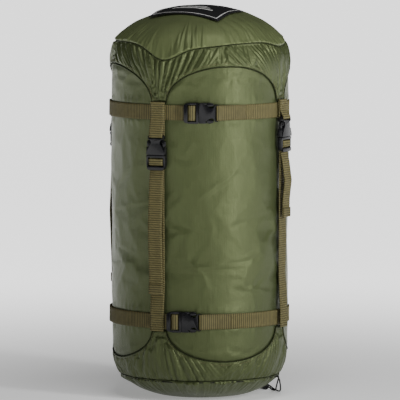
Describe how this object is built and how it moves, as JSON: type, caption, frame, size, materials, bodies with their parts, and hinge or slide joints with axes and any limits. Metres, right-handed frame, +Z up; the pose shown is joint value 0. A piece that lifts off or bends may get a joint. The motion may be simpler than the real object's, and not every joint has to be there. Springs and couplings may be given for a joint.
{
  "type": "compression sack",
  "caption": "Stuffed cylindrical fabric sack with gathered end caps, vertical and girth compression straps and side-release buckles.",
  "frame": {"origin": "on the sack's axis, in the flat that it stands on", "axes": "+Z up along the sack's axis; -Y towards the front, with the upper girth buckle; +X to the viewer's right"},
  "size_m": [0.2454, 0.2521, 0.5251],
  "materials": {
    "shell_fabric": "satin coated polyester",
    "crown_fabric": "satin coated polyester",
    "filling": "soft fill in its cover",
    "edge_binding": "folded binding",
    "label": "woven patch",
    "cord": "braided cord",
    "webbing": "ribbed webbing",
    "spring_steel": "bright wire",
    "buckle_plastic": "moulded acetal"
  },
  "bodies": {
    "base": {"packed_load": "filling", "main_tube": "shell_fabric", "base_disc": "shell_fabric", "base_skirt": "shell_fabric", "base_hem_piping": "edge_binding", "strap_front_left_lower": "webbing", "strap_front_right_lower": "webbing", "strap_back_right_lower": "webbing", "strap_back_left_lower": "webbing", "lower_girth_strap": "webbing", "lower_girth_buckle_socket": "buckle_plastic", "lower_girth_buckle_frame": "buckle_plastic", "drawcord_ring": "cord", "drawcord_loop": "cord", "cord_lock_barrel": "buckle_plastic", "cord_lock_spring": "spring_steel"},
    "crown": {"crown_disc": "crown_fabric", "crown_skirt": "shell_fabric", "crown_hem_piping": "edge_binding", "label_patch": "label", "strap_front_left_upper": "webbing", "strap_front_left_tail": "webbing", "strap_front_right_upper": "webbing", "strap_front_right_tail": "webbing", "strap_back_right_upper": "webbing", "strap_back_right_tail": "webbing", "strap_back_left_upper": "webbing", "strap_back_left_tail": "webbing", "buckle_front_left_socket": "buckle_plastic", "buckle_front_left_frame": "buckle_plastic", "buckle_front_right_socket": "buckle_plastic", "buckle_front_right_frame": "buckle_plastic", "buckle_back_right_socket": "buckle_plastic", "buckle_back_right_frame": "buckle_plastic", "buckle_back_left_socket": "buckle_plastic", "buckle_back_left_frame": "buckle_plastic", "upper_girth_strap": "webbing", "upper_girth_buckle_socket": "buckle_plastic", "upper_girth_buckle_frame": "buckle_plastic"},
    "buckle_front_left_prong_a": {"buckle_front_left_prong_a": "buckle_plastic"},
    "buckle_front_left_prong_b": {"buckle_front_left_prong_b": "buckle_plastic"},
    "buckle_front_right_prong_a": {"buckle_front_right_prong_a": "buckle_plastic"},
    "buckle_front_right_prong_b": {"buckle_front_right_prong_b": "buckle_plastic"},
    "buckle_back_right_prong_a": {"buckle_back_right_prong_a": "buckle_plastic"},
    "buckle_back_right_prong_b": {"buckle_back_right_prong_b": "buckle_plastic"},
    "buckle_back_left_prong_a": {"buckle_back_left_prong_a": "buckle_plastic"},
    "buckle_back_left_prong_b": {"buckle_back_left_prong_b": "buckle_plastic"},
    "upper_girth_buckle_prong_a": {"upper_girth_buckle_prong_a": "buckle_plastic"},
    "upper_girth_buckle_prong_b": {"upper_girth_buckle_prong_b": "buckle_plastic"},
    "lower_girth_buckle_prong_a": {"lower_girth_buckle_prong_a": "buckle_plastic"},
    "lower_girth_buckle_prong_b": {"lower_girth_buckle_prong_b": "buckle_plastic"},
    "cord_lock_plunger": {"cord_lock_plunger": "buckle_plastic"}
  },
  "joints": [
    {"name": "strap_tightening", "type": "slide", "parent": "base", "child": "crown", "axis": [0, 0, 1], "range_m": [-0.1, 0], "deforming": ["main_tube", "packed_load", "strap_front_left_lower", "strap_front_right_lower", "strap_back_right_lower", "strap_back_left_lower"]},
    {"name": "buckle_front_left_squeeze_a", "type": "hinge", "parent": "crown", "child": "buckle_front_left_prong_a", "pos_m": [-0.04984, -0.11675, 0.3323], "axis": [-0.454, -0.891, 0], "range_deg": [0, 8], "stiffness_Nm_per_rad": 0.05},
    {"name": "buckle_front_left_squeeze_b", "type": "hinge", "parent": "crown", "child": "buckle_front_left_prong_b", "pos_m": [-0.06516, -0.10894, 0.3323], "axis": [-0.454, -0.891, 0], "range_deg": [-8, 0], "stiffness_Nm_per_rad": 0.05},
    {"name": "buckle_front_right_squeeze_a", "type": "hinge", "parent": "crown", "child": "buckle_front_right_prong_a", "pos_m": [0.11675, -0.04984, 0.3528], "axis": [0.891, -0.454, 0], "range_deg": [0, 8], "stiffness_Nm_per_rad": 0.05},
    {"name": "buckle_front_right_squeeze_b", "type": "hinge", "parent": "crown", "child": "buckle_front_right_prong_b", "pos_m": [0.10894, -0.06516, 0.3528], "axis": [0.891, -0.454, 0], "range_deg": [-8, 0], "stiffness_Nm_per_rad": 0.05},
    {"name": "buckle_back_right_squeeze_a", "type": "hinge", "parent": "crown", "child": "buckle_back_right_prong_a", "pos_m": [0.04984, 0.11675, 0.3518], "axis": [0.454, 0.891, 0], "range_deg": [0, 8], "stiffness_Nm_per_rad": 0.05},
    {"name": "buckle_back_right_squeeze_b", "type": "hinge", "parent": "crown", "child": "buckle_back_right_prong_b", "pos_m": [0.06516, 0.10894, 0.3518], "axis": [0.454, 0.891, 0], "range_deg": [-8, 0], "stiffness_Nm_per_rad": 0.05},
    {"name": "buckle_back_left_squeeze_a", "type": "hinge", "parent": "crown", "child": "buckle_back_left_prong_a", "pos_m": [-0.11675, 0.04984, 0.3518], "axis": [-0.891, 0.454, 0], "range_deg": [0, 8], "stiffness_Nm_per_rad": 0.05},
    {"name": "buckle_back_left_squeeze_b", "type": "hinge", "parent": "crown", "child": "buckle_back_left_prong_b", "pos_m": [-0.10894, 0.06516, 0.3518], "axis": [-0.891, 0.454, 0], "range_deg": [-8, 0], "stiffness_Nm_per_rad": 0.05},
    {"name": "upper_girth_buckle_squeeze_a", "type": "hinge", "parent": "crown", "child": "upper_girth_buckle_prong_a", "pos_m": [-0.00119, -0.12369, 0.3794], "axis": [0.0175, -0.9998, 0], "range_deg": [0, 8], "stiffness_Nm_per_rad": 0.05},
    {"name": "upper_girth_buckle_squeeze_b", "type": "hinge", "parent": "crown", "child": "upper_girth_buckle_prong_b", "pos_m": [-0.00119, -0.12369, 0.3966], "axis": [0.0175, -0.9998, 0], "range_deg": [-8, 0], "stiffness_Nm_per_rad": 0.05},
    {"name": "lower_girth_buckle_squeeze_a", "type": "hinge", "parent": "base", "child": "lower_girth_buckle_prong_a", "pos_m": [-0.0235, -0.12144, 0.1014], "axis": [-0.1633, -0.9866, 0], "range_deg": [0, 8], "stiffness_Nm_per_rad": 0.05},
    {"name": "lower_girth_buckle_squeeze_b", "type": "hinge", "parent": "base", "child": "lower_girth_buckle_prong_b", "pos_m": [-0.0235, -0.12144, 0.1186], "axis": [-0.1633, -0.9866, 0], "range_deg": [-8, 0], "stiffness_Nm_per_rad": 0.05},
    {"name": "cord_lock_press", "type": "slide", "parent": "base", "child": "cord_lock_plunger", "axis": [-0.4384, 0.8988, 0], "range_m": [-0.0035, 0], "stiffness_N_per_m": 300, "deforming": ["cord_lock_spring"]}
  ],
  "couplings": [
    {"joint": "buckle_front_left_squeeze_b", "follows": "buckle_front_left_squeeze_a", "ratio": -1},
    {"joint": "buckle_front_right_squeeze_b", "follows": "buckle_front_right_squeeze_a", "ratio": -1},
    {"joint": "buckle_back_right_squeeze_b", "follows": "buckle_back_right_squeeze_a", "ratio": -1},
    {"joint": "buckle_back_left_squeeze_b", "follows": "buckle_back_left_squeeze_a", "ratio": -1},
    {"joint": "upper_girth_buckle_squeeze_b", "follows": "upper_girth_buckle_squeeze_a", "ratio": -1},
    {"joint": "lower_girth_buckle_squeeze_b", "follows": "lower_girth_buckle_squeeze_a", "ratio": -1}
  ]
}
